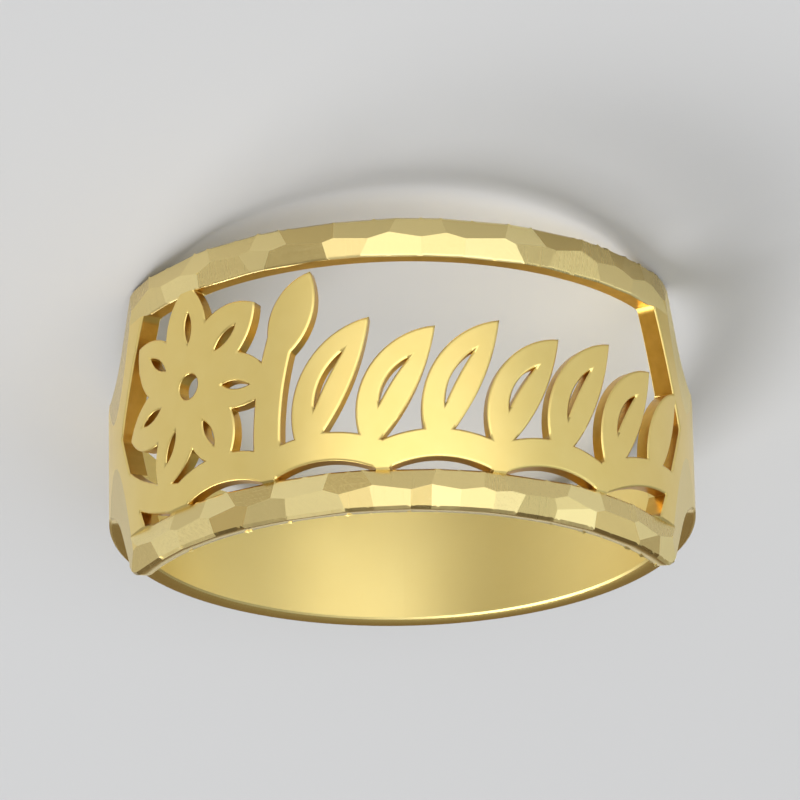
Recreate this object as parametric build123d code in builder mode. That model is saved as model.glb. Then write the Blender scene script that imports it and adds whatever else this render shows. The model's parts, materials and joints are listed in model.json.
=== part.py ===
from build123d import *
import os
from collections import namedtuple
from math import atan2, cos, degrees, hypot, radians, sin

# A wide gold band whose front is pierced: a flower and a row of leaves stand between two
# diamond-cut rails, and a plain narrow shank closes the ring behind the finger.
# Lengths are millimetres. Angles are degrees round the finger, from the middle of the front.

# Band
bore_radius = 8.65
wall = 0.70
panel_width = 9.70
panel_half_angle = 67.0
shank_width = 3.85
taper_end_angle = 78.0
corner_round = 0.50
taper_round = 2.5
edge_round = 0.08

# Window
rail_width = 1.30
window_half_angle = 60.0
window_tip_angle = 71.0

# Diamond cuts: flats in two staggered rows that meet along the middle of each rail, and a long
# one along each sloping edge of the posts, through three places given as angle and height
cuts_per_rail = 14
cut_depth = 0.035
outer_lean = 13.0
inner_lean = 9.0
cut_overlap = 0.30
post_cut = ((63.5, 4.85), (67.3, 2.83), (80.5, 1.20))

# Ornament
ornament_thickness = 0.50
stem_width = 0.95
flower_petals = 7
flower_reach = 3.45
flower_heart = 1.25
flower_eye = 0.42
petal_left = 1.08
petal_right = 0.80
vein_start = 1.45
vein_end = 2.50
vein_swell = 0.14
leaf_count = 6

# The rows below give places as shares of the window's half length and half height.
# A swell is how far an arc bows out to the left of the straight line between its ends,
# as a share of the half height.
Leaf = namedtuple("Leaf", "foot_u foot_v tip_u tip_v left right")
Wave = namedtuple("Wave", "from_u from_v to_u to_v swell")
flower_u = -0.755
flower_v = 0.10
waves = [
    Wave(-1.13, -0.52, -0.80, -0.90, -0.056),
    Wave(-0.80, -0.90, -0.44, -0.88, 0.113),
    Wave(-0.44, -0.88, -0.06, -0.88, 0.118),
    Wave(-0.06, -0.88, 0.32, -0.88, 0.118),
    Wave(0.32, -0.88, 0.70, -0.88, 0.118),
    Wave(0.70, -0.88, 1.10, -0.62, 0.079),
]
leaf_pitch = 0.211
leaf_drop = 0.09
first_leaf = Leaf(-0.320, -0.86, -0.095, 0.42, 0.352, 0.113)
first_vein = Leaf(-0.278, -0.40, -0.180, 0.12, 0.073, -0.014)
bud_stalk = Wave(-0.44, -0.80, -0.385, 0.34, 0.056)
bud = Leaf(-0.405, 0.08, -0.285, 0.90, 0.225, 0.175)
end_leaf = Leaf(0.945, -0.74, 1.15, 0.30, 0.250, 0.118)

# Worked out from the sizes above
outer_radius = bore_radius + wall
half_height = panel_width / 2 - rail_width
half_length = outer_radius * radians(window_half_angle)
clear = wall
through = 3 * wall


def touching_plane(angle, height=0.0, outside=0.0):
    """The plane that touches the band at an angle, its x along the band, its y along the finger."""
    turn = radians(angle)
    reach = outer_radius + outside
    return Plane(
        origin=(reach * sin(turn), -reach * cos(turn), height),
        x_dir=(cos(turn), sin(turn), 0),
        z_dir=(sin(turn), -cos(turn), 0),
    )


def over(start, end):
    """The plane over a stroke between two places of the window, and its ends on that plane."""
    middle = (start[0] + end[0]) / 2 / outer_radius
    ends = [(outer_radius * sin(u / outer_radius - middle), v) for u, v in (start, end)]
    return touching_plane(degrees(middle), outside=clear), ends[0], ends[1]


def bowed(start, end, swell):
    """The point that an arc from start to end passes half way, a swell to the left of them."""
    along_x = end[0] - start[0]
    along_y = end[1] - start[1]
    length = hypot(along_x, along_y)
    return (
        (start[0] + end[0]) / 2 - along_y / length * swell,
        (start[1] + end[1]) / 2 + along_x / length * swell,
    )


def place(u, v):
    """A place of the window in millimetres, from its shares of the half length and height."""
    return (u * half_length, v * half_height)


def leaf_outline(start, end, left, right):
    """A leaf between two places, its sides two arcs that swell to the left and the right."""
    plane, foot, tip = over(start, end)
    with BuildSketch(plane) as outline:
        with BuildLine():
            ThreePointArc(foot, bowed(foot, tip, left), tip)
            ThreePointArc(tip, bowed(tip, foot, right), foot)
        make_face()
    return outline.sketch


def stem_outline(start, end, swell):
    """A round-ended stroke of the stem's width along one arc."""
    plane, foot, tip = over(start, end)
    with BuildSketch(plane) as outline:
        with BuildLine(mode=Mode.PRIVATE) as middle:
            ThreePointArc(foot, bowed(foot, tip, swell), tip)
        SlotArc(middle.line.edge(), stem_width)
    return outline.sketch


def table_leaf(row, shift=0.0, drop=0.0):
    """The outline of a leaf of the table, moved along the window, its tip lowered by a drop."""
    return leaf_outline(
        place(row.foot_u + shift, row.foot_v),
        place(row.tip_u + shift, row.tip_v - drop),
        row.left * half_height,
        row.right * half_height,
    )


def table_stem(row):
    """The outline of a stem of the table."""
    return stem_outline(
        place(row.from_u, row.from_v), place(row.to_u, row.to_v), row.swell * half_height
    )


def around_flower(distance, turn):
    """A place at a distance from the flower's middle, turned from straight up."""
    middle_u, middle_v = place(flower_u, flower_v)
    return (middle_u - distance * sin(radians(turn)), middle_v + distance * cos(radians(turn)))


def flat(angle, height, turn, lean):
    """The plane of one diamond cut: x along its row, and leaning down towards its own y."""
    surface = touching_plane(angle, height)
    row = surface.x_dir * cos(radians(turn)) + surface.y_dir * sin(radians(turn))
    across = surface.y_dir * cos(radians(turn)) - surface.x_dir * sin(radians(turn))
    facing = surface.z_dir * cos(radians(lean)) + across * sin(radians(lean))
    return Plane(origin=surface.origin - facing * cut_depth, x_dir=row, z_dir=facing)


def flat_through(places):
    """The plane of one diamond cut through three places of the band's outside, facing outwards."""
    first, middle, last = [touching_plane(angle, height).origin for angle, height in places]
    facing = (middle - first).cross(last - first)
    if facing.dot(Vector(middle.X, middle.Y, 0)) < 0:
        facing = -facing
    return Plane(origin=middle, x_dir=last - first, z_dir=facing)


# The plain band, broad in front and narrow behind
corner_y = -outer_radius * cos(radians(panel_half_angle))
shank_y = -outer_radius * cos(radians(taper_end_angle))
beyond = outer_radius + clear
with BuildPart() as band:
    with BuildSketch():
        Circle(outer_radius)
        Circle(bore_radius, mode=Mode.SUBTRACT)
    extrude(amount=panel_width / 2, both=True)
    with BuildSketch(Plane.YZ):
        with BuildLine():
            Polyline(
                (-beyond, 0),
                (-beyond, panel_width / 2),
                (corner_y, panel_width / 2),
                (shank_y, shank_width / 2),
                (beyond, shank_width / 2),
                (beyond, 0),
            )
            mirror(about=Plane.XZ)
        make_face()
        fillet(vertices().filter_by(lambda v: abs(v.X - corner_y) < 1e-3), corner_round)
        fillet(vertices().filter_by(lambda v: abs(v.X - shank_y) < 1e-3), taper_round)
    extrude(amount=beyond, both=True, mode=Mode.INTERSECT)
    fillet(edges(), edge_round)

    # The window, square along the rails and pointed at both ends
    with BuildSketch(Plane.XY.offset(-half_height)):
        with BuildLine():
            sweep_start = -90 - window_half_angle
            rim = CenterArc((0, 0), beyond, sweep_start, 2 * window_half_angle)
            Line((0, 0), rim @ 0)
            Line(rim @ 1, (0, 0))
        make_face()
    extrude(amount=2 * half_height, mode=Mode.SUBTRACT)
    end_angle = (window_half_angle + window_tip_angle) / 2
    end_reach = outer_radius * sin(radians(window_tip_angle - end_angle))
    for hand in (-1, 1):
        with BuildSketch(touching_plane(hand * end_angle, outside=clear)):
            with BuildLine():
                Polyline(
                    (-hand * end_reach, -half_height),
                    (hand * end_reach, 0),
                    (-hand * end_reach, half_height),
                    close=True,
                )
            make_face()
        extrude(amount=-through, mode=Mode.SUBTRACT)

# The ornament, a thinner sheet flush with the outside of the band
with BuildPart() as ornament:
    for row in waves:
        extrude(table_stem(row), amount=-through)
    extrude(table_stem(bud_stalk), amount=-through)
    extrude(table_leaf(bud), amount=-through)
    extrude(table_leaf(end_leaf), amount=-through)
    for count in range(leaf_count):
        shift = count * leaf_pitch
        drop = count % 2 * leaf_drop
        extrude(table_leaf(first_leaf, shift, drop), amount=-through)
        extrude(table_leaf(first_vein, shift, drop), amount=-through, mode=Mode.SUBTRACT)
    heart = touching_plane(degrees(flower_u * half_length / outer_radius), outside=clear)
    with BuildSketch(heart):
        with Locations((0, flower_v * half_height)):
            Circle(flower_heart)
    extrude(amount=-through)
    petal_turn = 360 / flower_petals
    for count in range(flower_petals):
        turn = count * petal_turn
        petal = leaf_outline(
            around_flower(0, turn), around_flower(flower_reach, turn), petal_left, petal_right
        )
        extrude(petal, amount=-through)
    for count in range(flower_petals):
        turn = count * petal_turn
        vein = leaf_outline(
            around_flower(vein_start, turn), around_flower(vein_end, turn), vein_swell, vein_swell
        )
        extrude(vein, amount=-through, mode=Mode.SUBTRACT)
    with BuildSketch(heart):
        with Locations((0, flower_v * half_height)):
            Circle(flower_eye)
    extrude(amount=-through, mode=Mode.SUBTRACT)
    with BuildSketch(Plane.XY.offset(-panel_width / 2 + rail_width / 2)):
        Circle(outer_radius)
        Circle(outer_radius - ornament_thickness, mode=Mode.SUBTRACT)
    extrude(amount=panel_width - rail_width, mode=Mode.INTERSECT)

# The diamond cuts: along both rails, then along the four sloping edges
cut_pitch = 2 * panel_half_angle / cuts_per_rail
ridge_height = panel_width / 2 - rail_width / 2
outer_flats = []
inner_flats = []
for rail in (-1, 1):
    out = 0 if rail > 0 else 180
    for count in range(cuts_per_rail):
        angle = -panel_half_angle + (count + 0.5) * cut_pitch
        outer_flats.append(flat(angle, rail * ridge_height, out, outer_lean))
    for count in range(1, cuts_per_rail):
        angle = -panel_half_angle + count * cut_pitch
        if abs(angle) < window_half_angle:
            inner_flats.append(flat(angle, rail * ridge_height, out + 180, inner_lean))
post_flats = [
    flat_through([(hand * angle, rail * height) for angle, height in post_cut])
    for hand in (-1, 1)
    for rail in (-1, 1)
]

# Band and ornament are one piece of metal, and it is cut last
cut_length = 2.5 * outer_radius * radians(cut_pitch)
post_cut_reach = panel_width
with BuildPart() as upright_ring:
    add(band.part)
    add(ornament.part)
    for flats, width in ((outer_flats, rail_width / 2 + clear), (inner_flats, rail_width / 2)):
        for plane in flats:
            with BuildSketch(plane):
                with Locations((0, (width - cut_overlap) / 2)):
                    Rectangle(cut_length, width + cut_overlap)
        extrude(amount=clear, mode=Mode.SUBTRACT)
    for plane in post_flats:
        with BuildSketch(plane):
            Rectangle(post_cut_reach, post_cut_reach)
    extrude(amount=clear, mode=Mode.SUBTRACT)

# The ring lies on its side: two corners of the broad front and the back of the shank touch down,
# so the front leans back. The origin is under the middle, on the surface that it lies on.
lean_back = atan2((panel_width - shank_width) / 2, outer_radius - corner_y)
lying = Plane(origin=(0, 0, 0), x_dir=(-1, 0, 0), z_dir=(0, -sin(lean_back), -cos(lean_back)))
extent = upright_ring.part.moved(lying.location).bounding_box()
lying.origin = (0, -extent.center().Y, -extent.min.Z)
with BuildPart() as ring_band:
    with Locations(lying):
        add(upright_ring.part)
ring_band.part.label = "ring_band"
os.makedirs("parts", exist_ok=True)
export_step(ring_band.part, "parts/ring_band.step")

print("lean back", round(degrees(lean_back), 3), "degrees; bore centre", lying.origin)
print("metal", round(ring_band.part.volume, 2), "cubic millimetres")
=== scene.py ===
# %% [markdown]
# # A pierced gold ring
# The ring is one piece of metal: a band, broad in front and narrow behind. The front is sawn
# through round a flower and a row of leaves, and small flats are cut along its rails with a
# diamond, so that they flash. This lesson lays the metal out flat as a goldsmith would, saws it,
# bends it round, cuts the flats, and then finishes and lights it.

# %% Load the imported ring
import json
import math
import random
from collections import namedtuple

import bmesh
import bpy
import numpy as np
from mathutils import Matrix, Vector
from mathutils.geometry import delaunay_2d_cdt
from mathutils.kdtree import KDTree


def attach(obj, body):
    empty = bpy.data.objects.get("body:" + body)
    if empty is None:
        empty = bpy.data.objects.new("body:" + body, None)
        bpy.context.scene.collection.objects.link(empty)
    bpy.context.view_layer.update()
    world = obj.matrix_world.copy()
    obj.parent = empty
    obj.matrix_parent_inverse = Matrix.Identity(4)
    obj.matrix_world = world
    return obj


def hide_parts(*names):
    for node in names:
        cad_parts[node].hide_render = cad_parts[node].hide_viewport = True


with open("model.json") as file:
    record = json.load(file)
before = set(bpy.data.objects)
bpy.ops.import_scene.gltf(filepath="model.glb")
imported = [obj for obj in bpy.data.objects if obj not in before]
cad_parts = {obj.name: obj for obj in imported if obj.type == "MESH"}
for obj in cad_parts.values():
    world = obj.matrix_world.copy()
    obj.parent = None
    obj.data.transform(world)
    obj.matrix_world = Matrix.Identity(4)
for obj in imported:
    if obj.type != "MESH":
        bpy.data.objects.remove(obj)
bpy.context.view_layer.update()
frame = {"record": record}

# %% [markdown]
# ## Sizes
# A goldsmith thinks in millimetres, so the ring is drawn in millimetres and degrees round the
# finger, and turned into metres only when it becomes an object. Angles start at the middle of the
# front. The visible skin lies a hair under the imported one, as if it had been polished away.

# %% Sizes of the band, the window and the flats
MM = 0.001
polish = 0.010
bore_radius = 8.65
wall = 0.70
panel_width = 9.70
panel_half_angle = 67.0
shank_width = 3.85
taper_end_angle = 78.0
corner_round = 0.50
taper_round = 2.5
rail_width = 1.30
window_half_angle = 60.0
window_tip_angle = 71.0

cuts_per_rail = 14
cut_depth = 0.035
outer_lean = 13.0
inner_lean = 9.0
post_cut = ((63.5, 4.85), (67.3, 2.83), (80.5, 1.20))
ornament_thickness = 0.50

outer_radius = bore_radius + wall
half_height = panel_width / 2 - rail_width
half_length = outer_radius * math.radians(window_half_angle)
half_turn = outer_radius * math.pi
front_length = 2 * outer_radius * math.radians(panel_half_angle)
print("front", round(front_length, 2), "mm long,", panel_width, "mm wide")

# %% [markdown]
# ## How the ring lies
# The part's frame has the ring on its side. It is easier to draw upright, with the finger's axis
# along Z and the front towards -Y, and to lay it down at the end. The record's bore gives both the
# place and the lean, so the drawing can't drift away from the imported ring.

# %% From upright to lying
bore = frame["record"]["mounts"][0]
up = -Vector(bore["axis"]).normalized()
right = Vector((-1, 0, 0))
lying = Matrix.Translation(bore["pos_m"]) @ Matrix((right, up.cross(right), up)).transposed().to_4x4()
print("the finger's axis leans back by", round(math.degrees(math.acos(-up.z)), 2), "degrees")

# %% [markdown]
# ## Camera
# The photograph looks up at the ring from below its middle, from far away. On its side, the ring's
# lower rim is up, so the same view comes from above the floor, with the camera turned over. Its
# distance, height, roll and focal length were fitted to points along the rails and the shank. The
# picture is shown with plain tones, because Blender's softer film curve takes the yellow out of
# bright gold.

# %% Camera
image_side = 800
eye_distance = 0.2634
eye_below = 21.27
eye_roll = -1.09
focal_pixels = 8246.0
ring_centre_pixel = (401.5, 469.3)
sensor_width = 36

below = math.radians(eye_below)
eye = Vector((0, -math.cos(below), -math.sin(below))) * eye_distance
ahead = -eye.normalized()
turned = Matrix.Rotation(math.radians(-eye_roll), 3, ahead)
eye_right = turned @ Vector((1, 0, 0))
eye_up = turned @ Vector((1, 0, 0)).cross(ahead)
aside = (image_side / 2 - ring_centre_pixel[0]) / focal_pixels
above = (ring_centre_pixel[1] - image_side / 2) / focal_pixels
ahead = (ahead + eye_right * aside + eye_up * above).normalized()
eye_right = ahead.cross(eye_up).normalized()
eye_up = eye_right.cross(ahead)

camera_data = bpy.data.cameras.new("camera")
camera_data.sensor_width = sensor_width
camera_data.lens = focal_pixels / image_side * sensor_width
camera_data.clip_start = 0.01
camera = bpy.data.objects.new("camera", camera_data)
bpy.context.scene.collection.objects.link(camera)
bpy.context.scene.camera = camera
pose = Matrix((eye_right, eye_up, -ahead)).transposed().to_4x4()
pose.translation = eye
camera.matrix_world = lying @ pose
bpy.context.scene.view_settings.view_transform = "Standard"
camera_height = camera.matrix_world.translation.z
print("camera height", round(camera_height, 3), "m, lens", round(camera_data.lens, 1), "mm")

# %% [markdown]
# ## Drawing on the flat
# The front is drawn on the unrolled outer surface: u runs round the ring and v along the finger.
# Every stroke is made of arcs. A stroke is drawn on the plane that touches the band under its
# middle, because the saw goes straight in there, and then wrapped onto the surface.

# %% Arcs, strokes and discs
arc_steps = 22
cap_steps = 10
cap_roundness = 0.999


def arc(start, end, swell, steps=arc_steps):
    """Points along an arc that bows out by a swell to the left of the line from start to end."""
    start, end = Vector(start), Vector(end)
    chord = end - start
    along = chord.normalized()
    left = Vector((-along.y, along.x))
    half_angle = 2 * math.atan(2 * swell / chord.length)
    radius = chord.length / 2 / math.sin(half_angle)
    centre = (start + end) / 2 - left * radius * math.cos(half_angle)
    turns = [half_angle * (2 * step / steps - 1) for step in range(steps + 1)]
    return [centre + left * radius * math.cos(t) + along * radius * math.sin(t) for t in turns]


def stroke(centre_line, width):
    """The outline of a round-ended stroke along a line of points."""
    ahead_of = [b - a for a, b in zip(centre_line, centre_line[1:])]
    ahead_of.append(ahead_of[-1])
    sides = [Vector((-d.y, d.x)).normalized() * width / 2 for d in ahead_of]
    left = [p + side for p, side in zip(centre_line, sides)]
    back = [p - side for p, side in zip(centre_line, sides)][::-1]
    end_cap = arc(left[-1], back[0], width / 2 * cap_roundness, cap_steps)[1:-1]
    start_cap = arc(back[-1], left[0], width / 2 * cap_roundness, cap_steps)[1:-1]
    return left + end_cap + back + start_cap


def disc(middle, radius, steps=40):
    """Points round a circle."""
    turns = [2 * math.pi * step / steps for step in range(steps)]
    return [Vector(middle) + Vector((radius * math.cos(t), radius * math.sin(t))) for t in turns]


print("a round-ended stroke has", len(stroke(arc((0, 0), (1, 1), 0.2), 0.1)), "points")


# %% Leaves and stems, wrapped round the band
def wrapped(points, angle):
    """Points of the plane that touches the band at an angle, as places on the unrolled surface."""
    return [
        Vector((outer_radius * (angle + math.asin(p.x / outer_radius)), p.y)) for p in points
    ]


def drawn_over(start, end, draw):
    """Draws between two places of the unrolled surface, on the plane over their middle."""
    angle = (start[0] + end[0]) / 2 / outer_radius
    ends = [(outer_radius * math.sin(u / outer_radius - angle), v) for u, v in (start, end)]
    return wrapped(draw(*ends), angle)


def leaf(start, end, left, right):
    """The outline of a leaf whose sides swell to the left and the right of its middle line."""
    return drawn_over(
        start, end, lambda foot, tip: arc(foot, tip, left)[:-1] + arc(tip, foot, right)[:-1]
    )


def stem(start, end, swell, width):
    """The outline of a stem along one arc."""
    return drawn_over(start, end, lambda foot, tip: stroke(arc(foot, tip, swell), width))


print("a leaf has", len(leaf((0, 0), (1, 1), 0.2, 0.2)), "points")

# %% [markdown]
# ## The ornament
# A flower, a bud and seven leaves on a waved stem fill the window. The tables give places as
# shares of the window's half length and half height, and swells as shares of its half height. Each
# outline could be drawn by hand as a curve, but a leaf is only two arcs, so a row of six numbers
# says all of it. The works are listed in the order in which a goldsmith would add or saw them, so
# a vein is sawn before the next leaf is laid over it.

# %% Tables of the ornament
stem_width = 0.95
flower_petals = 7
flower_reach = 3.45
flower_heart = 1.25
flower_eye = 0.42
petal_left, petal_right = 1.08, 0.80
vein_start, vein_end, vein_swell = 1.45, 2.50, 0.14
flower_u, flower_v = -0.755, 0.10
veined_leaves = 6
leaf_pitch = 0.211
leaf_drop = 0.09

Leaf = namedtuple("Leaf", "foot_u foot_v tip_u tip_v left right")
Wave = namedtuple("Wave", "from_u from_v to_u to_v swell")
waves = [
    Wave(-1.13, -0.52, -0.80, -0.90, -0.056),
    Wave(-0.80, -0.90, -0.44, -0.88, 0.113),
    Wave(-0.44, -0.88, -0.06, -0.88, 0.118),
    Wave(-0.06, -0.88, 0.32, -0.88, 0.118),
    Wave(0.32, -0.88, 0.70, -0.88, 0.118),
    Wave(0.70, -0.88, 1.10, -0.62, 0.079),
]
first_leaf = Leaf(-0.320, -0.86, -0.095, 0.42, 0.352, 0.113)
first_vein = Leaf(-0.278, -0.40, -0.180, 0.12, 0.073, -0.014)
bud_stalk = Wave(-0.44, -0.80, -0.385, 0.34, 0.056)
bud = Leaf(-0.405, 0.08, -0.285, 0.90, 0.225, 0.175)
end_leaf = Leaf(0.945, -0.74, 1.15, 0.30, 0.250, 0.118)
print(len(waves), "waves of the stem,", flower_petals, "petals and", veined_leaves + 1, "leaves")


# %% From the tables to outlines
def place(u, v):
    """A place of the window in millimetres."""
    return (u * half_length, v * half_height)


def table_leaf(row, shift=0.0, drop=0.0):
    """The outline of a leaf of the table, moved along the window, its tip lowered by a drop."""
    foot = place(row.foot_u + shift, row.foot_v)
    tip = place(row.tip_u + shift, row.tip_v - drop)
    return leaf(foot, tip, row.left * half_height, row.right * half_height)


def table_stem(row):
    """The outline of a stem of the table."""
    start, end = place(row.from_u, row.from_v), place(row.to_u, row.to_v)
    return stem(start, end, row.swell * half_height, stem_width)


def round_flower(distance, turn):
    """A place at a distance from the flower's middle, turned from straight up."""
    middle = place(flower_u, flower_v)
    return (middle[0] - distance * math.sin(turn), middle[1] + distance * math.cos(turn))


print("the flower's middle, in millimetres:", round_flower(0, 0))

# %% Add and saw the parts of the ornament
added, sawn = True, False
works = [(added, table_stem(row)) for row in waves + [bud_stalk]]
works += [(added, table_leaf(bud)), (added, table_leaf(end_leaf))]
for count in range(veined_leaves):
    step = (count * leaf_pitch, count % 2 * leaf_drop)
    works += [(added, table_leaf(first_leaf, *step)), (sawn, table_leaf(first_vein, *step))]

flower_angle = flower_u * half_length / outer_radius
heart_middle = (0, flower_v * half_height)
petal_turns = [2 * math.pi * count / flower_petals for count in range(flower_petals)]
works.append((added, wrapped(disc(heart_middle, flower_heart), flower_angle)))
for turn in petal_turns:
    petal = leaf(round_flower(0, turn), round_flower(flower_reach, turn), petal_left, petal_right)
    works.append((added, petal))
for turn in petal_turns:
    ends = round_flower(vein_start, turn), round_flower(vein_end, turn)
    works.append((sawn, leaf(*ends, vein_swell, vein_swell)))
works.append((sawn, wrapped(disc(heart_middle, flower_eye), flower_angle)))
print(len(works), "outlines in the ornament")

# %% [markdown]
# ## The band's outline
# From the side, the band's edge runs straight along the broad front, slopes down the shoulder and
# runs straight again along the shank, with its two corners rounded. That side view is drawn once,
# in the ring's depth and height, and then unrolled for all four quarters.

# %% The side view
corner_y = -outer_radius * math.cos(math.radians(panel_half_angle))
shank_y = -outer_radius * math.cos(math.radians(taper_end_angle))


def rounded(before, corner, after, radius, steps=10):
    """An arc of a radius in the corner between two straight stretches."""
    before, corner, after = Vector(before), Vector(corner), Vector(after)
    back, on = (before - corner).normalized(), (after - corner).normalized()
    half_corner = back.angle(on) / 2
    reach = radius / math.tan(half_corner)
    swell = radius * (1 - math.sin(half_corner))
    side = 1 if back.x * on.y - back.y * on.x < 0 else -1
    return arc(corner + back * reach, corner + on * reach, -side * swell, steps)


front_end = (-outer_radius, panel_width / 2)
shoulder_top = (corner_y, panel_width / 2)
shoulder_foot = (shank_y, shank_width / 2)
back_end = (outer_radius, shank_width / 2)
side_view = rounded(front_end, shoulder_top, shoulder_foot, corner_round)
side_view += rounded(shoulder_top, shoulder_foot, back_end, taper_round, steps=16)
print("a quarter of the side view has", len(side_view), "points")

# %% The band and its window, unrolled
front_edge_step = 0.3
back_edge_points = 70
quarter = [(outer_radius * math.acos(-p.x / outer_radius), p.y) for p in side_view]
front_run = np.arange(0, quarter[0][0], front_edge_step)
back_run = np.linspace(quarter[-1][0], half_turn, back_edge_points)[1:]
top_right = [(u, panel_width / 2) for u in front_run] + quarter
top_right += [(u, shank_width / 2) for u in back_run]
top = [(-u, v) for u, v in top_right[:0:-1]] + top_right
band_outline = [Vector((u, -v)) for u, v in top] + [Vector(p) for p in top[::-1]]

tip = outer_radius * math.radians(window_tip_angle)
corners = [(-half_length, -half_height), (half_length, -half_height), (tip, 0)]
corners += [(half_length, half_height), (-half_length, half_height), (-tip, 0)]
window_outline = [Vector(corner) for corner in corners]
print("the band unrolls to", round(2 * half_turn, 1), "mm")

# %% [markdown]
# ## Sawing
# All the outlines overlap. A constrained triangulation splits the sheet along every line at once,
# so sawing is only a choice: a triangle stays if its middle is in the band but not the window, or
# if the last work over it added metal. Booleans on solids could do it too, but the flat way keeps
# the points clean. The sides of the kept triangles that have no neighbour are the sawn edge.

# %% Saw the sheet
all_triangles = 0
merge_distance = 1e-5
drawing = [band_outline, window_outline] + [outline for _, outline in works]


def inside(outline, spots):
    """True for each spot inside: a line to its right crosses the outline an odd number of times."""
    start = np.array(outline)
    end = np.roll(start, -1, axis=0)
    u, v = spots[:, :1], spots[:, 1:]
    crossed = (start[:, 1] > v) != (end[:, 1] > v)
    rise = np.where(start[:, 1] == end[:, 1], 1, end[:, 1] - start[:, 1])
    crossing = start[:, 0] + (v - start[:, 1]) / rise * (end[:, 0] - start[:, 0])
    return (crossed & (crossing > u)).sum(axis=1) % 2 == 1


points, edges = [], []
for outline in drawing:
    first, count = len(points), len(outline)
    edges += [(first + k, first + (k + 1) % count) for k in range(count)]
    points += outline
sheet = delaunay_2d_cdt(points, edges, [], all_triangles, merge_distance)
middles = np.array(sheet[0])[np.array(sheet[2])].mean(axis=1)
plain_band = inside(band_outline, middles) & ~inside(window_outline, middles)
stays = plain_band.copy()
for work, outline in works:
    stays[inside(outline, middles) & ~plain_band] = work
metal = [tri for tri, kept in zip(sheet[2], stays) if kept]
sides = {(tri[k], tri[(k + 1) % 3]) for tri in metal for k in range(3)}
sawn_sides = {a: b for a, b in sides if (b, a) not in sides}
print(len(metal), "pieces of metal and", len(sawn_sides), "sawn sides")

# %% [markdown]
# ## Lines round the metal
# The sawn sides are strung together into closed lines, one for the rim and one for each opening.
# Where the ornament touches the window's edge the two are soldered, and those short lines are kept
# too, because the metal changes its thickness there. Points that crowd together would make
# slivers, and points far apart would cut through the curve, so each line is evened out.

# %% String the sawn sides together
def loops(follows):
    """The closed loops of a table of which point follows which."""
    left, found = dict(follows), []
    while left:
        first = next(iter(left))
        loop, here = [first], left.pop(first)
        while here != first:
            loop.append(here)
            here = left.pop(here)
        found.append(loop)
    return found


sawn_lines = [[Vector(sheet[0][index]) for index in loop] for loop in loops(sawn_sides)]
print(len(sawn_lines), "lines round the metal")

# %% Find the solder and even the lines out
close, step_width = 1e-4, 0.02
shortest_side, longest_side = 0.02, 0.25
window_sides = list(zip(window_outline, window_outline[1:] + window_outline[:1]))


def outside_of(side, p):
    """How far a place lies beyond one side of the window."""
    along = (side[1] - side[0]).normalized()
    return (p[0] - side[0].x) * along.y - (p[1] - side[0].y) * along.x


def shared_side(a, b):
    """The side of the window that both places lie on, or nothing."""
    for side in window_sides:
        if abs(outside_of(side, a)) < close and abs(outside_of(side, b)) < close:
            return side


joints = []
for a, b in sides:
    joint = [Vector(sheet[0][index]) for index in (a, b)]
    if a < b and (b, a) in sides and shared_side(*joint):
        joints.append(joint)


def at_joint(p):
    """True where the ornament is soldered to the window's edge."""
    for a, b in joints:
        share = max(0, min(1, (p - a).dot(b - a) / (b - a).length_squared))
        if (a.lerp(b, share) - p).length < close:
            return True
    return False


def evenly(line):
    """A closed line without its shortest sides, with its longest ones divided, and with a point
    just beyond the ends of each joint."""
    steps_in = [(p - line[k - 1]).length for k, p in enumerate(line)]
    line = [p for p, step in zip(line, steps_in) if step > shortest_side or at_joint(p)]
    divided = []
    for here, after in zip(line, line[1:] + line[:1]):
        length = (after - here).length
        parts = math.ceil(length / longest_side)
        stops = [part / parts for part in range(parts)]
        if shared_side(here, after) and length > 4 * step_width:
            stops += [step_width / length] * at_joint(here)
            stops += [1 - step_width / length] * at_joint(after)
        divided += [here.lerp(after, stop) for stop in sorted(stops)]
    return divided


outlines = [evenly(line) for line in sawn_lines]
print(len(joints), "short lines of solder")
print(len(outlines), "outlines, the longest with", max(map(len, outlines)), "points")

# %% [markdown]
# ## A line beside each edge
# A sawn edge is never quite sharp: the polishing wheel breaks it, and the thin bright line along
# it is what makes pierced work readable. So each outline gets a second line a little inside the
# metal, and later the edge itself is lowered. The band's own rim is lowered more than the pierced
# edges.

# %% Set each outline in
edge_width = 0.085
rim_width = 0.08
sharpest = 0.35


def left_of(a, b):
    """The direction to the left of the way from one place to another."""
    return Vector((a.y - b.y, b.x - a.x)).normalized()


def set_in(line, width):
    """The line moved into the metal, which lies to its left."""
    moved = []
    for k, here in enumerate(line):
        left_before = left_of(line[k - 1], here)
        left_after = left_of(here, line[(k + 1) % len(line)])
        middle = (left_before + left_after).normalized()
        moved.append(here + middle * width / max(middle.dot(left_before), sharpest))
    return moved


def on_seam(p):
    """True on the line where the unrolled band closes."""
    return abs(abs(p[0]) - half_turn) < close


rim = max(outlines, key=len)
points, edges, faces = [], [], []
for line in outlines:
    first = len(points)
    faces.append(list(range(first, first + len(line))))
    points += line
for line in outlines:
    inset = set_in(line, rim_width if line is rim else edge_width)
    if line is rim:
        moves = zip(line, inset)
        inset = [Vector((old.x, new.y)) if on_seam(old) else new for old, new in moves]
    first, count = len(points), len(inset)
    edges += [(first + k, first + (k + 1) % count) for k in range(count)]
    points += inset
print(len(points), "points on the lines and beside them")

# %% [markdown]
# ## Borders of the joints
# The rails' flats stop at the window's edge, and the ornament's thin sheet meets the thicker rails
# there. A pair of lines close together, along every joint, lets the metal step from one to the
# other. The lines run on a little past the window's corners, because the rails' flats do.

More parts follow.
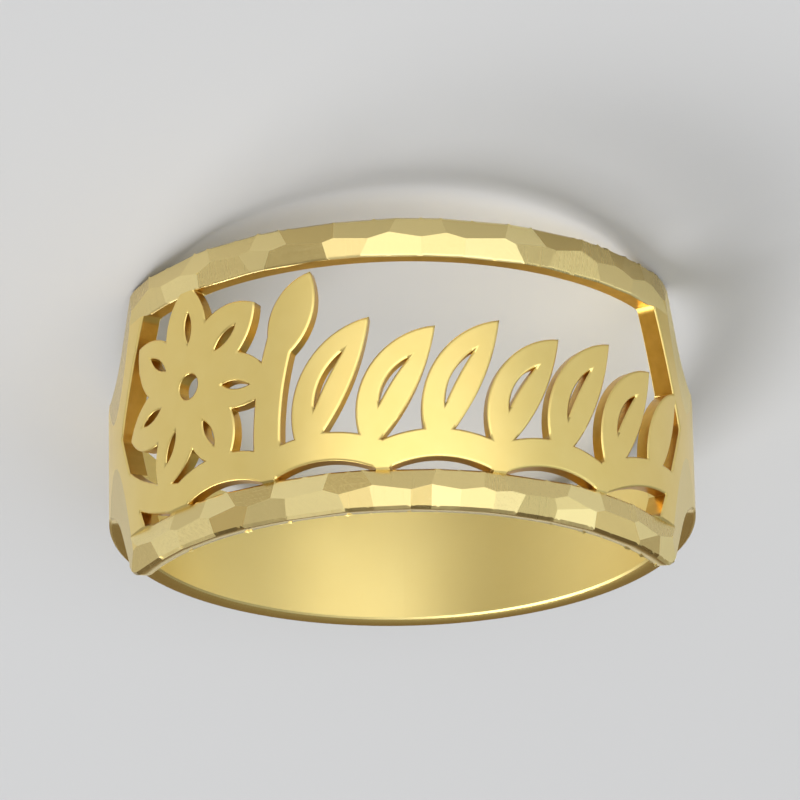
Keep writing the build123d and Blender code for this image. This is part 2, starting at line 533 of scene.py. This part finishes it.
# %% Pairs of lines along the joints
borders = [(a, b, shared_side(a, b)) for a, b in joints]
past_corner = outer_radius * math.radians(10)
for corner in (corners[0], corners[1], corners[3], corners[4]):
    start = Vector(corner)
    end = start + Vector((math.copysign(past_corner, start.x), 0))
    borders.append((start, end, shared_side(start, (-start.x, start.y))))
for start, end, side in borders:
    along = (side[1] - side[0]).normalized()
    outwards = Vector((along.y, -along.x)) * step_width
    parts = math.ceil((end - start).length / longest_side)
    for lift in (Vector((0, 0)), outwards):
        first = len(points)
        points += [start.lerp(end, part / parts) + lift for part in range(parts + 1)]
        edges += [(k, k + 1) for k in range(first, len(points) - 1)]
print(len(borders), "pairs of lines")

# %% [markdown]
# ## Points inside the metal
# A bent surface needs points in its middle too, or its triangles would cut through the curve. A
# plain grid is enough, kept clear of the lines so that no triangle is a sliver. This time the
# triangulation can say by itself what is metal: every line has the metal on its left, so a
# triangle that lies on the left of all of them is metal.

# %% Fill the metal with a grid
front_step = 0.30
back_step = 0.45
shank_row_count = 9
grid_margin = 0.2
clearance = 0.09
tree = KDTree(len(points))
for number, p in enumerate(points):
    tree.insert((p.x, p.y, 0), number)
tree.balance()

front_limit = outer_radius * math.radians(taper_end_angle)
grid = [(u, v) for u in np.arange(-front_limit, front_limit, front_step)
        for v in np.arange(-panel_width / 2 + grid_margin, panel_width / 2, front_step)]
shank_edge = shank_width / 2 - rim_width
shank_rows = np.linspace(-shank_edge, shank_edge, shank_row_count)
for u in np.arange(front_limit + back_step, half_turn - back_step / 2, back_step):
    grid += [(side * u, v) for v in shank_rows for side in (-1, 1)]
grid = [p for p in grid if tree.find((p[0], p[1], 0))[2] > clearance]
points += [Vector(p) for p in grid]
flat = delaunay_2d_cdt(points, edges, faces, all_triangles, merge_distance)
metal = [tri for tri, lies_in in zip(flat[2], flat[5]) if len(lies_in) == len(outlines)]
print(len(metal), "triangles on the outside of the ring")

# %% [markdown]
# ## Bending
# Bending is now a formula: u becomes an angle. The two ends of the sheet meet behind the finger
# and are soldered by merging their points.

# %% Bend the sheet round the finger
solder_reach = 1e-3
skin_radius = outer_radius - polish


def bent(u, v, radius):
    """The place in space of a place on the unrolled surface."""
    angle = u / outer_radius
    return Vector((radius * math.sin(angle), -radius * math.cos(angle), v))


def angle_of(p):
    """The angle round the finger of a place in space."""
    return math.atan2(p.x, -p.y)


ring = bmesh.new()
verts = [ring.verts.new(bent(p.x, p.y, skin_radius)) for p in flat[0]]
for tri in metal:
    ring.faces.new([verts[index] for index in tri])
bmesh.ops.delete(ring, geom=[v for v in ring.verts if not v.link_faces], context="VERTS")
seam = [v for v in ring.verts if v.co.y > 0 and abs(v.co.x) < solder_reach]
bmesh.ops.remove_doubles(ring, verts=seam, dist=solder_reach)
print("open sides after soldering:", sum(edge.is_boundary for edge in ring.edges))

# %% [markdown]
# ## Diamond cuts
# A diamond-tipped wheel takes off a flat slice, and each slice takes a little of the last one, so
# the flats meet in crisp ridges. The same happens here: for each flat, the surface is split where
# the flat's plane meets it, and the points above the plane are pushed down onto it. No two
# hand-guided cuts are quite alike, so each is turned and sunk a touch differently, and here and
# there a shallow, narrow flat takes the ridge between two others.

# %% One diamond cut
Cut = namedtuple("Cut", "point facing near")
seed = 5
hand_work = random.Random(seed)
on_plane, flat_enough = 1e-5, 1e-4
lean_spread, turn_spread, depth_spread, place_spread = 3.5, 13.0, 0.010, 1.1
cut_number = ring.faces.layers.int.new("cut")


def cut_plane(u, v, turn, lean, near):
    """The plane of one cut: it faces outwards and leans down towards its turn."""
    angle = u / outer_radius + math.radians(hand_work.uniform(-place_spread, place_spread))
    turn += math.radians(hand_work.uniform(-turn_spread, turn_spread))
    lean = math.radians(lean + hand_work.uniform(-lean_spread, lean_spread))
    depth = cut_depth + hand_work.uniform(-depth_spread, depth_spread)
    outward = Vector((math.sin(angle), -math.cos(angle), 0))
    along = Vector((math.cos(angle), math.sin(angle), 0))
    across = Vector((0, 0, 1)) * math.cos(turn) - along * math.sin(turn)
    facing = outward * math.cos(lean) + across * math.sin(lean)
    return Cut(outward * skin_radius + Vector((0, 0, v)) - facing * depth, facing, near)


def plane_off(cut, number):
    """Pushes the metal near a cut down onto its plane, and numbers the faces that lie on it."""
    near = [face for face in ring.faces if cut.near(face.calc_center_median())]
    geometry = list({part for face in near for part in (face, *face.edges, *face.verts)})
    bmesh.ops.bisect_plane(
        ring, geom=geometry, dist=on_plane, plane_co=cut.point, plane_no=cut.facing
    )
    height = cut.point.dot(cut.facing)
    near = [face for face in ring.faces if cut.near(face.calc_center_median())]
    for vert in {vert for face in near for vert in face.verts}:
        if vert.co.dot(cut.facing) - height > on_plane:
            level_part = vert.co.x * cut.facing.x + vert.co.y * cut.facing.y
            shrink = (height - vert.co.z * cut.facing.z) / level_part
            vert.co.x *= shrink
            vert.co.y *= shrink
    for face in near:
        if all(abs(vert.co.dot(cut.facing) - height) < flat_enough for vert in face.verts):
            face[cut_number] = number


print("a cut is", cut_depth, "mm deep, give or take", depth_spread)

# %% Cut the flats
reach = math.radians(14)
post_start, post_end = math.radians(59), math.radians(89)
place_error = 0.006
narrow_share, narrow_lift = 0.45, 0.012
clear_of_border, clear_of_ornament = 0.9 * step_width, 0.6 * half_height


def on_post(hand, rail):
    """A test for faces on one quarter of the two posts."""
    return lambda p: p.z * rail > 0 and post_start < angle_of(p) * hand < post_end


def beside(u, v, window_side):
    """A test for faces beside a place on a rail, and above the window if the cut is beside it."""
    lowest = half_height + clear_of_border if window_side else clear_of_ornament
    return lambda p: (
        p.z * v > 0 and abs(p.z) > lowest and abs(angle_of(p) - u / outer_radius) < reach
    )


cut_pitch = math.radians(2 * panel_half_angle / cuts_per_rail) * outer_radius
ridge_height = panel_width / 2 - rail_width / 2
cuts, narrow_cuts = [], []
for rail in (-1, 1):
    rimwards = 0 if rail > 0 else math.pi
    for count in range(cuts_per_rail):
        u = (count + 0.5 - cuts_per_rail / 2) * cut_pitch
        v = rail * ridge_height
        cuts.append(cut_plane(u, v, rimwards, outer_lean, beside(u, v, False)))
        if hand_work.random() < narrow_share:
            narrow = cut_plane(u + cut_pitch / 2, v, rimwards, outer_lean, beside(u, v, False))
            narrow_cuts.append(narrow._replace(point=narrow.point + narrow.facing * narrow_lift))
    for count in range(1, cuts_per_rail):
        u = (count - cuts_per_rail / 2) * cut_pitch
        if abs(u) < half_length:
            cuts.append(cut_plane(u, v, rimwards + math.pi, inner_lean, beside(u, v, True)))
for hand in (-1, 1):
    for rail in (-1, 1):
        errors = [hand_work.uniform(-place_error, place_error) for _ in post_cut]
        places = [bent(hand * math.radians(angle) * outer_radius, rail * v, skin_radius + error)
                  for (angle, v), error in zip(post_cut, errors)]
        facing = (places[1] - places[0]).cross(places[2] - places[0]).normalized()
        facing *= math.copysign(1, facing.x * hand)
        cuts.append(Cut(places[1], facing, on_post(hand, rail)))
cuts += narrow_cuts
for number, cut in enumerate(cuts, 1):
    plane_off(cut, number)
bmesh.ops.triangulate(ring, faces=ring.faces)
print(len(cuts), "cuts,", sum(face[cut_number] > 0 for face in ring.faces), "faces on them")

# %% [markdown]
# ## Thickness
# The sheet becomes solid metal: its edge is lowered a little to break it, a wall goes down from
# each edge, and a copy of the sheet, facing the finger, closes the inside. For a clean shine the
# direction in which every corner of every face looks is worked out rather than averaged: the
# cylinder looks straight out, a flat has one direction all over, and an edge looks half sideways.

# %% Look at the edges
rim_margin = 0.01
ring.verts.ensure_lookup_table()
skin = [vert.co.copy() for vert in ring.verts]
edge_follows = {}
for edge in ring.edges:
    if edge.is_boundary:
        corner = next(c for c in edge.link_faces[0].loops if c.edge == edge)
        edge_follows[corner.vert.index] = corner.link_loop_next.vert.index
edge_loops = loops(edge_follows)


def unrolled(p, beside_angle=0.0):
    """A place in space as a place on the unrolled surface, on the seam's side of an angle."""
    angle = angle_of(p)
    if abs(angle - beside_angle) > math.pi:
        angle += math.copysign(2 * math.pi, beside_angle)
    return Vector((angle * outer_radius, p.z))


def sideways(loop, k):
    """The direction out of the metal at one point of an edge, along the surface."""
    line = [unrolled(skin[loop[(k + step) % len(loop)]]) for step in (-1, 0, 1)]
    out = Vector((0, 0))
    for a, b in zip(line, line[1:]):
        side = b - a
        side.x = (side.x + half_turn) % (2 * half_turn) - half_turn
        out += Vector((side.y, -side.x)).normalized()
    angle = angle_of(skin[loop[k]])
    out.normalize()
    return Vector((math.cos(angle), math.sin(angle), 0)) * out.x + Vector((0, 0, out.y))


def radial(p):
    """The direction straight out of the finger's axis."""
    return Vector((p.x, p.y, 0)).normalized()


edge_out, edge_is_rim, edge_run = {}, {}, {}
for loop in edge_loops:
    is_rim = max(abs(skin[index].z) for index in loop) > panel_width / 2 - rim_margin
    run = 0.0
    for k, index in enumerate(loop):
        edge_out[index] = sideways(loop, k)
        edge_is_rim[index] = is_rim
        edge_run[index] = run
        run += (skin[index] - skin[loop[(k + 1) % len(loop)]]).length
rim_count = sum(edge_is_rim[loop[0]] for loop in edge_loops)
print(len(edge_loops), "edges, of which", rim_count, "are the rim")

# %% [markdown]
# ## The side towards the finger
# Each point of the sheet gets a partner nearer the finger. The ornament is sawn from thinner sheet
# than the rails, so its partners are closer. The rim of a comfortable ring is also rounded on the
# finger's side, so its inner points move a little inwards along the finger.

# %% Place the outer and inner points
edge_drop = 0.05
rim_drop = 0.08
comfort_set_in = 0.035


def is_thin(p):
    """True where the metal is the ornament's thin sheet."""
    spot = unrolled(p)
    beyond = max(outside_of(side, spot) for side in window_sides)
    return beyond < -close or beyond < close and at_joint(spot)


coordinates = []
outer_points, inner_points, inner_radius = {}, {}, {}
for index, p in enumerate(skin):
    out = radial(p)
    drop = 0
    if index in edge_out:
        drop = rim_drop if edge_is_rim[index] else edge_drop
    outer_points[index] = len(coordinates)
    coordinates.append(p - out * drop)
    inner_radius[index] = outer_radius - ornament_thickness if is_thin(p) else bore_radius
    inner_points[index] = len(coordinates)
    inwards = comfort_set_in if edge_is_rim.get(index) else 0
    height = p.z - math.copysign(inwards, p.z)
    coordinates.append(Vector((0, 0, height)) + out * (inner_radius[index] + polish + drop))
print(len(coordinates), "points,", sum(map(is_thin, skin)), "pairs of them in the thin sheet")

# %% Directions of the corners
edge_tilt = math.radians(52)
rim_tilt = math.radians(84)
comfort_tilt = math.radians(69)
finishes = ["front", "cut", "sawn", "rim", "polished"]
corner_normals, triangles, corner_places, finish_numbers = [], [], [], []


def add_face(numbers, normals, places, finish):
    """Adds one triangle or quad with its corners' directions and places."""
    triangles.append(numbers)
    corner_normals.extend(normals)
    corner_places.extend(places)
    finish_numbers.append(finishes.index(finish))


def tucked_in(index):
    """The direction at the inner corner of a wall: the rim is rounded towards the finger."""
    if not edge_is_rim[index]:
        return edge_out[index]
    return edge_out[index] * math.sin(comfort_tilt) - radial(skin[index]) * math.cos(comfort_tilt)


def leaning(indices, facings, tilt_at_rim):
    """The directions at a face's corners: a face beside the rim is a crisp bevel, a corner on
    another edge looks half sideways, and all others look where their surface faces."""
    beside_rim = any(edge_is_rim.get(index) for index in indices)
    directions = []
    for index, facing in zip(indices, facings):
        if beside_rim:
            out, tilt = edge_out[rim_tree.find(skin[index])[1]], tilt_at_rim
            facing = radial(skin[index]) * math.copysign(1, facing.dot(skin[index]))
        else:
            out, tilt = edge_out.get(index, facing), edge_tilt
        directions.append((facing * math.cos(tilt) + out * math.sin(tilt)).normalized())
    return directions


rim_points = [index for index, is_rim in edge_is_rim.items() if is_rim]
rim_tree = KDTree(len(rim_points))
for index in rim_points:
    rim_tree.insert(skin[index], index)
rim_tree.balance()
print(len(rim_points), "points on the rim")

# %% [markdown]
# ## Making the solid
# Every triangle of the sheet is laid down twice, once facing out and once facing the finger, and
# each side of an edge gets a wall between the two. A modifier could thicken the sheet too, but it
# would give neither the thin ornament nor a say in how each corner shines. Each corner also keeps
# its place on the unrolled band or along its edge, and the number of its cut, which the finishes
# read later.

# %% Faces of both sides
for face in ring.faces:
    indices = [vert.index for vert in face.verts]
    middle = face.calc_center_median()
    number = face[cut_number]
    facings = [cuts[number - 1].facing if number else radial(skin[index]) for index in indices]
    normals = leaning(indices, facings, rim_tilt)
    places = [(*unrolled(skin[index], angle_of(middle)), number) for index in indices]
    finish = "cut" if number else "front"
    add_face([outer_points[index] for index in indices], normals, places, finish)
    inner_numbers = [inner_points[index] for index in indices][::-1]
    inward = leaning(indices, [-radial(skin[index]) for index in indices], comfort_tilt)[::-1]
    if len({inner_radius[index] for index in indices}) > 1:
        a, b, c = [coordinates[number] for number in inner_numbers]
        inward = [(b - a).cross(c - a).normalized()] * 3
    add_face(inner_numbers, inward, places[::-1], "polished")
print(len(triangles), "faces on the outside and the inside")

# %% Walls along the edges
for loop in edge_loops:
    for k, index in enumerate(loop):
        after = loop[(k + 1) % len(loop)]
        finish = "rim" if edge_is_rim[index] else "sawn"
        run = edge_run[index]
        side = (skin[after] - skin[index]).length
        numbers = [outer_points[after], outer_points[index]]
        numbers += [inner_points[index], inner_points[after]]
        normals = [edge_out[after], edge_out[index], tucked_in(index), tucked_in(after)]
        places = [(run + side, wall, 0), (run, wall, 0), (run, 0, 0), (run + side, 0, 0)]
        add_face(numbers, normals, places, finish)
ring.free()
print(len(coordinates), "points and", len(triangles), "faces in the solid ring")

# %% [markdown]
# ## Laying the ring down
# Only now does the drawing become an object: its millimetres turn into metres, and it is laid down
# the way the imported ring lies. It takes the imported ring's place and moves with its body.

# %% Turn it into an object
ring_mesh = bpy.data.meshes.new("pierced_ring")
ring_mesh.from_pydata([lying @ (p * MM) for p in coordinates], [], triangles)
ring_mesh.polygons.foreach_set("use_smooth", [True] * len(triangles))
ring_mesh.polygons.foreach_set("material_index", finish_numbers)
place_layer = ring_mesh.attributes.new("place", "FLOAT_VECTOR", "CORNER")
place_layer.data.foreach_set("vector", np.array(corner_places, float).ravel())
turn_only = lying.to_3x3()
ring_mesh.normals_split_custom_set([turn_only @ normal for normal in corner_normals])
pierced_ring = bpy.data.objects.new("pierced_ring", ring_mesh)
bpy.context.scene.collection.objects.link(pierced_ring)
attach(pierced_ring, "root")
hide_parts("ring_band")
print("the ring's box:", [round(side / MM, 2) for side in pierced_ring.dimensions], "mm")

# %% [markdown]
# ## Finishes
# All of it is the same gold, and the tool that touched it last leaves its own marks; where the
# tints differ, that is painted light and shade. Buffing leaves fine lines and soft clouds on the
# outside, and the diamond leaves flats that are each a little brighter or duller than the next.
# That comes partly from a roughness that differs from flat to flat and partly from a painted flash.
# The saw leaves ribs across the wall, and the side towards the finger carries hair lines round it.
# One node group draws fine lines in any direction, and every finish uses it with its own values.

# %% A node group for tool lines
apart = 7.3


def tool_lines_group():
    """Fine lines, soft clouds and a value for each cut, drawn on the place attribute."""
    group = bpy.data.node_groups.new("tool lines", "ShaderNodeTree")
    sockets = (("Across", "INPUT", "NodeSocketFloat"), ("Along", "INPUT", "NodeSocketFloat"),
               ("Clouds", "INPUT", "NodeSocketFloat"), ("Lines", "OUTPUT", "NodeSocketFloat"),
               ("Cloud", "OUTPUT", "NodeSocketFloat"), ("Each cut", "OUTPUT", "NodeSocketFloat"))
    for name, direction, kind in sockets:
        group.interface.new_socket(name, in_out=direction, socket_type=kind)
    nodes, links = group.nodes, group.links
    inputs, outputs = nodes.new("NodeGroupInput"), nodes.new("NodeGroupOutput")
    where = nodes.new("ShaderNodeAttribute")
    where.attribute_name = "place"
    scale = nodes.new("ShaderNodeCombineXYZ")
    links.new(inputs.outputs["Along"], scale.inputs["X"])
    links.new(inputs.outputs["Across"], scale.inputs["Y"])
    scale.inputs["Z"].default_value = apart
    stretched = nodes.new("ShaderNodeVectorMath")
    stretched.operation = "MULTIPLY"
    links.new(where.outputs["Vector"], stretched.inputs[0])
    links.new(scale.outputs["Vector"], stretched.inputs[1])
    lines = nodes.new("ShaderNodeTexNoise")
    lines.inputs["Scale"].default_value = 1.0
    lines.inputs["Detail"].default_value = 3.0
    links.new(stretched.outputs["Vector"], lines.inputs["Vector"])
    clouds = nodes.new("ShaderNodeTexNoise")
    clouds.inputs["Detail"].default_value = 2.0
    links.new(where.outputs["Vector"], clouds.inputs["Vector"])
    links.new(inputs.outputs["Clouds"], clouds.inputs["Scale"])
    number = nodes.new("ShaderNodeSeparateXYZ")
    links.new(where.outputs["Vector"], number.inputs["Vector"])
    each = nodes.new("ShaderNodeTexWhiteNoise")
    each.noise_dimensions = "1D"
    links.new(number.outputs["Z"], each.inputs["W"])
    links.new(each.outputs["Value"], outputs.inputs["Each cut"])
    links.new(lines.outputs["Fac"], outputs.inputs["Lines"])
    links.new(clouds.outputs["Fac"], outputs.inputs["Cloud"])
    return group


tool_lines = tool_lines_group()
print("the group", tool_lines.name, "has", len(tool_lines.nodes), "nodes")

# %% [markdown]
# ## Five ways to touch gold
# A finish is one row: two tints that the clouds or the cuts mix, a roughness and its spread, the
# lines to a millimetre along and across the ring, the clouds to a millimetre, the heights of both
# in millimetres, how much each cut differs in roughness, and how far the shine is stretched. The
# same metal looks redder in the saw's narrow openings, where gold is mirrored in gold, and the walls
# get that as painted shade: a darker, redder gold. The flats mix a lighter and a darker gold at
# random as a painted flash, and the side towards the finger gets a paler, lighter gold as painted
# light.

# %% The five finishes
Finish = namedtuple("Finish", (
    "tint", "dark", "rough", "rough_spread", "along", "across", "clouds",
    "line_height", "cloud_height", "each_rough", "stretch",
))
gold, deep_gold = (0.95, 0.75, 0.28), (0.90, 0.68, 0.22)
# Painted flash: each flat mixes a lighter and a darker gold at random, as if it caught or missed the
# light.
cut_painted_flash, cut_painted_shade = (1.0, 0.85, 0.41), (0.64, 0.48, 0.18)
# Painted shade: the saw's walls get a darker, redder gold, standing in for shade and gold mirrored in
# gold in the narrow openings.
wall_painted_shade_gold, wall_deeper_painted_shade_gold = (0.78, 0.50, 0.12), (0.55, 0.32, 0.06)
# Painted light: the side towards the finger gets a paler, lighter gold than the outside, so that the
# shank's inside shines brighter.
inside_painted_light_gold, inside_warm_painted_light_gold = (1.0, 0.84, 0.37), (0.96, 0.79, 0.33)
looks = {
    "front": Finish(gold, deep_gold, 0.31, 0.06, 10.0, 1.0, 0.9, 0.0004, 0.004, 0.0, 0.4),
    "cut": Finish(cut_painted_flash, cut_painted_shade, 0.22, 0.10, 12.0, 0.5, 1.5, 0.0014, 0.004, 0.22, 0.0),
    "sawn": Finish(wall_painted_shade_gold, wall_deeper_painted_shade_gold, 0.34, 0.12, 14.0, 1.0, 2.0, 0.003, 0.004, 0.0, 0.0),
    "rim": Finish(gold, deep_gold, 0.20, 0.06, 0.8, 10.0, 1.5, 0.0008, 0.003, 0.0, 0.0),
    "polished": Finish(inside_painted_light_gold, inside_warm_painted_light_gold, 0.46, 0.06, 0.8, 14.0, 0.6, 0.0004, 0.003, 0.0, 0.8),
}


def gold_finish(name, look):
    """Gold with the lines and clouds of one tool."""
    material = bpy.data.materials.new("gold " + name)
    material.use_nodes = True
    nodes, links = material.node_tree.nodes, material.node_tree.links
    shader = nodes["Principled BSDF"]
    shader.inputs["Metallic"].default_value = 1.0
    shader.inputs["Anisotropic"].default_value = look.stretch
    shader.inputs["Anisotropic Rotation"].default_value = 0.25
    round_the_ring = nodes.new("ShaderNodeTangent")
    links.new(round_the_ring.outputs["Tangent"], shader.inputs["Tangent"])
    marks = nodes.new("ShaderNodeGroup")
    marks.node_tree = tool_lines
    marks.inputs["Along"].default_value = look.along
    marks.inputs["Across"].default_value = look.across
    marks.inputs["Clouds"].default_value = look.clouds
    colour = nodes.new("ShaderNodeMix")
    colour.data_type = "RGBA"
    colour.inputs["A"].default_value = (*look.dark, 1)
    colour.inputs["B"].default_value = (*look.tint, 1)
    # On the flats, each cut's random value mixes the painted flash; elsewhere the clouds mix the tints.
    links.new(marks.outputs["Each cut" if look.each_rough else "Cloud"], colour.inputs["Factor"])
    links.new(colour.outputs["Result"], shader.inputs["Base Color"])
    rough = nodes.new("ShaderNodeMapRange")
    rough.inputs["To Min"].default_value = look.rough - look.rough_spread / 2
    rough.inputs["To Max"].default_value = look.rough + look.rough_spread / 2
    links.new(marks.outputs["Lines"], rough.inputs["Value"])
    rougher = nodes.new("ShaderNodeMath")
    rougher.operation = "MULTIPLY_ADD"
    rougher.inputs[1].default_value = look.each_rough
    links.new(marks.outputs["Each cut"], rougher.inputs[0])
    links.new(rough.outputs["Result"], rougher.inputs[2])
    links.new(rougher.outputs["Value"], shader.inputs["Roughness"])
    normal = None
    for output, height in (("Cloud", look.cloud_height), ("Lines", look.line_height)):
        bump = nodes.new("ShaderNodeBump")
        bump.inputs["Distance"].default_value = height * MM
        bump.inputs["Strength"].default_value = 1.0
        links.new(marks.outputs[output], bump.inputs["Height"])
        if normal:
            links.new(normal, bump.inputs["Normal"])
        normal = bump.outputs["Normal"]
    links.new(normal, shader.inputs["Normal"])
    return material


for name in finishes:
    ring_mesh.materials.append(gold_finish(name, looks[name]))
print([material.name for material in ring_mesh.materials])

# %% [markdown]
# ## Floor
# The ring lies on a plain, pale, matt floor, large enough to fill every view.

# %% Floor
floor_reach = 1.2
floor_grey = (0.50, 0.50, 0.51, 1)
floor_mesh = bpy.data.meshes.new("floor")
signs = ((-1, -1), (1, -1), (1, 1), (-1, 1))
floor_corners = [(x * floor_reach, y * floor_reach, 0) for x, y in signs]
floor_mesh.from_pydata(floor_corners, [], [(0, 1, 2, 3)])
floor = bpy.data.objects.new("floor", floor_mesh)
bpy.context.scene.collection.objects.link(floor)
floor_finish = bpy.data.materials.new("floor")
floor_finish.use_nodes = True
floor_shader = floor_finish.node_tree.nodes["Principled BSDF"]
floor_shader.inputs["Base Color"].default_value = floor_grey
floor_shader.inputs["Roughness"].default_value = 0.8
floor_mesh.materials.append(floor_finish)
print("the floor is", 2 * floor_reach, "m wide")

# %% [markdown]
# ## Lamps
# Polished gold has no look of its own: it shows what stands round it. Softboxes in front and at
# both sides light the outside, a high one shines over the front onto the shank's inside, the key
# behind the ring throws the shadow, and a low strip wakes a few more flats. Where the rails and
# the rim look down they show the floor, so a lit card and a cooler one lie there. Each lamp's
# power follows from its brightness and its area, so that a larger softbox isn't a dimmer one.

# %% Lamps
Lamp = namedtuple("Lamp", "name place aim width height brightness colour")
white, cool = (1.0, 1.0, 1.0), (0.45, 0.75, 1.0)
lamps = [
    Lamp("low softbox", (-0.03, -0.36, 0.085), (0, 0, 0), 0.60, 0.21, 0.80, white),
    Lamp("low strip", (-0.02, -0.20, 0.012), (-0.02, 0, 0.008), 0.26, 0.018, 1.3, white),
    Lamp("right softbox", (-0.40, -0.06, 0.10), (0, 0, 0), 0.36, 0.18, 0.90, white),
    Lamp("left softbox", (0.40, -0.06, 0.10), (0, 0, 0), 0.36, 0.18, 0.50, white),
    Lamp("high softbox", (-0.12, -0.28, 0.29), (0, 0, 0), 0.46, 0.30, 2.0, white),
    Lamp("key softbox", (0.20, 0.22, 0.40), (0, 0, 0), 0.32, 0.32, 6.5, white),
    Lamp("lit card on the floor", (-0.008, -0.075, 0.001), (-0.008, -0.075, 1), 0.10, 0.07, 1.1, white),
    Lamp("cool card on the floor", (-0.085, -0.055, 0.001), (-0.085, -0.055, 1), 0.06, 0.09, 0.9, cool),
]
for row in lamps:
    light = bpy.data.lights.new(row.name, "AREA")
    light.shape = "RECTANGLE"
    light.size, light.size_y = row.width, row.height
    light.energy = row.brightness * math.pi * row.width * row.height
    light.color = row.colour
    lamp = bpy.data.objects.new(row.name, light)
    lamp.location = row.place
    lamp.rotation_euler = (Vector(row.aim) - lamp.location).to_track_quat("-Z", "Y").to_euler()
    bpy.context.scene.collection.objects.link(lamp)
print(len(lamps), "lamps")

# %% [markdown]
# ## The room
# Between the lamps the gold shows the room: cool at one side, warm at the other, and dark brown
# behind the ring, which gives its edges their depth.

# %% The room
cool_wall, warm_wall = (0.30, 0.35, 0.38, 1), (0.36, 0.34, 0.30, 1)
dark_wall = (0.20, 0.155, 0.10, 1)
walls_from, walls_to = -0.8, 0.8
dark_from, dark_to = 0.5, 0.95
room = bpy.data.worlds.new("room")
room.use_nodes = True
nodes, links = room.node_tree.nodes, room.node_tree.links
direction = nodes.new("ShaderNodeTexCoord")
parts = nodes.new("ShaderNodeSeparateXYZ")
links.new(direction.outputs["Generated"], parts.inputs["Vector"])
walls = nodes.new("ShaderNodeValToRGB")
walls.color_ramp.elements[0].color = cool_wall
walls.color_ramp.elements[1].color = warm_wall
across_room = nodes.new("ShaderNodeMapRange")
across_room.inputs["From Min"].default_value = walls_from
across_room.inputs["From Max"].default_value = walls_to
links.new(parts.outputs["X"], across_room.inputs["Value"])
links.new(across_room.outputs["Result"], walls.inputs["Fac"])
behind = nodes.new("ShaderNodeMapRange")
behind.inputs["From Min"].default_value = dark_from
behind.inputs["From Max"].default_value = dark_to
links.new(parts.outputs["Y"], behind.inputs["Value"])
back_wall = nodes.new("ShaderNodeMix")
back_wall.data_type = "RGBA"
back_wall.inputs["B"].default_value = dark_wall
links.new(behind.outputs["Result"], back_wall.inputs["Factor"])
links.new(walls.outputs["Color"], back_wall.inputs["A"])
links.new(back_wall.outputs["Result"], nodes["Background"].inputs["Color"])
bpy.context.scene.world = room
print("the room has", len(nodes), "nodes")
